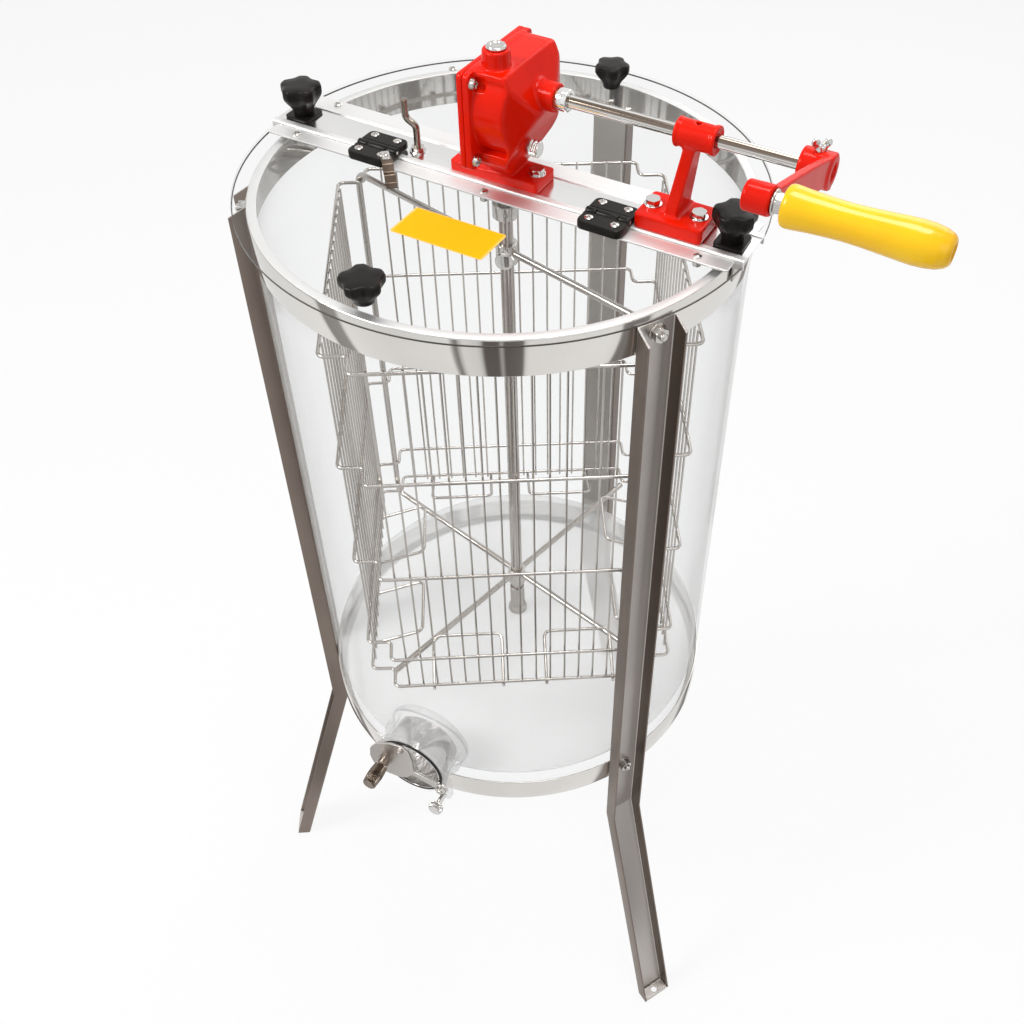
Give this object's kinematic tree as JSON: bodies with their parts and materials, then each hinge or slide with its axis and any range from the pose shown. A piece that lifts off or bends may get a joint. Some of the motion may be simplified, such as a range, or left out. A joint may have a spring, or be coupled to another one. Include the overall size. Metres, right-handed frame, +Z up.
{
  "type": "hand crank centrifuge",
  "caption": "Hand-cranked drum centrifuge: clear drum on legs, bridge with bevel gearbox, crank with grip, half lids, wire frame cage and a drain gate.",
  "frame": {"origin": "on the floor plane, at the centre of the circle of the three foot holes, under the drum's axis", "axes": "+Z up along the drum's axis, +X along the bridge towards the crank, +Y away from the drain gate"},
  "size_m": [0.7914, 0.713, 1.3721],
  "materials": {
    "clear_acrylic": "clear",
    "pale_floor": "satin",
    "polished_steel": "mirror",
    "brushed_steel": "brushed",
    "bright_fasteners": "bright",
    "bright_aluminium": "satin",
    "black_plastic": "satin",
    "painted_red": "gloss",
    "bronze_bush": "satin",
    "chrome_parts": "bright",
    "black_rubber": "matte",
    "gear_steel": "machined",
    "yellow_plastic": "gloss",
    "wire_steel": "drawn wire"
  },
  "bodies": {
    "stand": {"drum_wall": "clear_acrylic", "drum_floor": "pale_floor", "top_band": "polished_steel", "bottom_band": "polished_steel", "leg_left": "brushed_steel", "leg_right": "brushed_steel", "leg_back": "brushed_steel", "leg_bolts": "bright_fasteners", "bridge": "bright_aluminium", "bridge_end_clips": "polished_steel", "clamp_pads": "black_plastic", "gearbox_housing": "painted_red", "gearbox_cover": "painted_red", "gearbox_bush": "bronze_bush", "cover_screws": "bright_fasteners", "bridge_bolts": "bright_fasteners", "oil_plug": "chrome_parts", "bearing_stand": "painted_red", "floor_bearing": "brushed_steel", "outlet_tube": "clear_acrylic", "gate_seal": "black_rubber", "gate_pivot_bolt": "bright_fasteners", "hinge_fixed_leaves": "black_plastic", "hinge_pins": "brushed_steel", "stay_rod_nut": "bright_fasteners"},
    "side_screw": {"gearbox_side_screw": "chrome_parts"},
    "clamp_knob_left": {"clamp_knob_left": "black_plastic"},
    "clamp_knob_right": {"clamp_knob_right": "black_plastic"},
    "stay_rod": {"stay_rod": "brushed_steel"},
    "gate_blade": {"gate_blade": "brushed_steel", "gate_handle": "chrome_parts"},
    "gate_thumb_screw": {"gate_thumb_screw": "chrome_parts"},
    "front_lid": {"lid_front": "clear_acrylic", "lid_front_rail": "bright_aluminium", "lid_front_knob": "black_plastic", "hinge_moving_leaves": "black_plastic"},
    "back_lid": {"lid_back": "clear_acrylic", "lid_back_rail": "bright_aluminium", "lid_back_knob": "black_plastic"},
    "crank": {"crank_shaft": "brushed_steel", "crank_gear": "gear_steel", "shaft_collar": "bright_aluminium", "crank_arm": "painted_red", "handle_spindle": "bright_fasteners", "spindle_nut": "bright_fasteners"},
    "wing_screw": {"wing_screw": "chrome_parts"},
    "handle": {"handle_grip": "yellow_plastic"},
    "cage": {"cage_shaft": "brushed_steel", "cage_pinion": "gear_steel", "shaft_coupling": "brushed_steel", "cage_hubs": "brushed_steel", "cage_spokes": "wire_steel", "cage_corner_posts": "wire_steel", "cage_rings": "wire_steel", "frame_rests": "wire_steel", "cage_screen_1": "wire_steel", "cage_screen_2": "wire_steel", "cage_screen_3": "wire_steel", "cage_screen_4": "wire_steel"},
    "cage_thumb_screw": {"cage_thumb_screw": "chrome_parts"}
  },
  "joints": [
    {"name": "cage_spin", "type": "hinge", "parent": "stand", "child": "cage", "pos_m": [0, 0, 0.6], "axis": [0, 0, 1], "continuous": true},
    {"name": "crank_turn", "type": "hinge", "parent": "stand", "child": "crank", "pos_m": [0, 0, 1.303], "axis": [1, 0, 0], "continuous": true},
    {"name": "handle_spin", "type": "hinge", "parent": "crank", "child": "handle", "pos_m": [0.331, -0.15128, 1.35509], "axis": [1, 0, 0], "continuous": true},
    {"name": "front_lid_hinge", "type": "hinge", "parent": "stand", "child": "front_lid", "pos_m": [0, -0.026, 1.2145], "axis": [-1, 0, 0], "range_deg": [0, 50]},
    {"name": "back_lid_lift", "type": "slide", "parent": "stand", "child": "back_lid", "axis": [0, 0.9397, 0.342], "range_m": [0, 0.3]},
    {"name": "gate_swing", "type": "hinge", "parent": "stand", "child": "gate_blade", "pos_m": [0.06017, -0.28825, 0.5395], "axis": [0.0523, -0.9986, 0], "range_deg": [-25, 20]},
    {"name": "gate_thumb_turn", "type": "hinge", "parent": "stand", "child": "gate_thumb_screw", "pos_m": [0.05964, -0.29729, 0.5165], "axis": [0.0523, -0.9986, 0], "range_deg": [0, 360]},
    {"name": "clamp_turn_left", "type": "hinge", "parent": "stand", "child": "clamp_knob_left", "pos_m": [-0.243, 0, 1.22], "axis": [0, 0, 1], "range_deg": [0, 360]},
    {"name": "clamp_turn_right", "type": "hinge", "parent": "stand", "child": "clamp_knob_right", "pos_m": [0.243, 0, 1.22], "axis": [0, 0, 1], "range_deg": [0, 360]},
    {"name": "stay_rod_swing", "type": "hinge", "parent": "stand", "child": "stay_rod", "pos_m": [-0.099, -0.003, 1.22], "axis": [0, 0, 1], "range_deg": [-90, 90]},
    {"name": "side_screw_turn", "type": "hinge", "parent": "stand", "child": "side_screw", "pos_m": [0.045, -0.025, 1.262], "axis": [1, 0, 0], "range_deg": [0, 360]},
    {"name": "wing_screw_turn", "type": "hinge", "parent": "crank", "child": "wing_screw", "pos_m": [0.31, 0, 1.32], "axis": [0, 0, 1], "range_deg": [0, 360]},
    {"name": "cage_screw_turn", "type": "hinge", "parent": "cage", "child": "cage_thumb_screw", "pos_m": [0, 0, 1.126], "axis": [0.4384, -0.8988, 0], "range_deg": [0, 360]}
  ],
  "couplings": [
    {"joint": "crank_turn", "follows": "cage_spin", "ratio": 0.5}
  ]
}
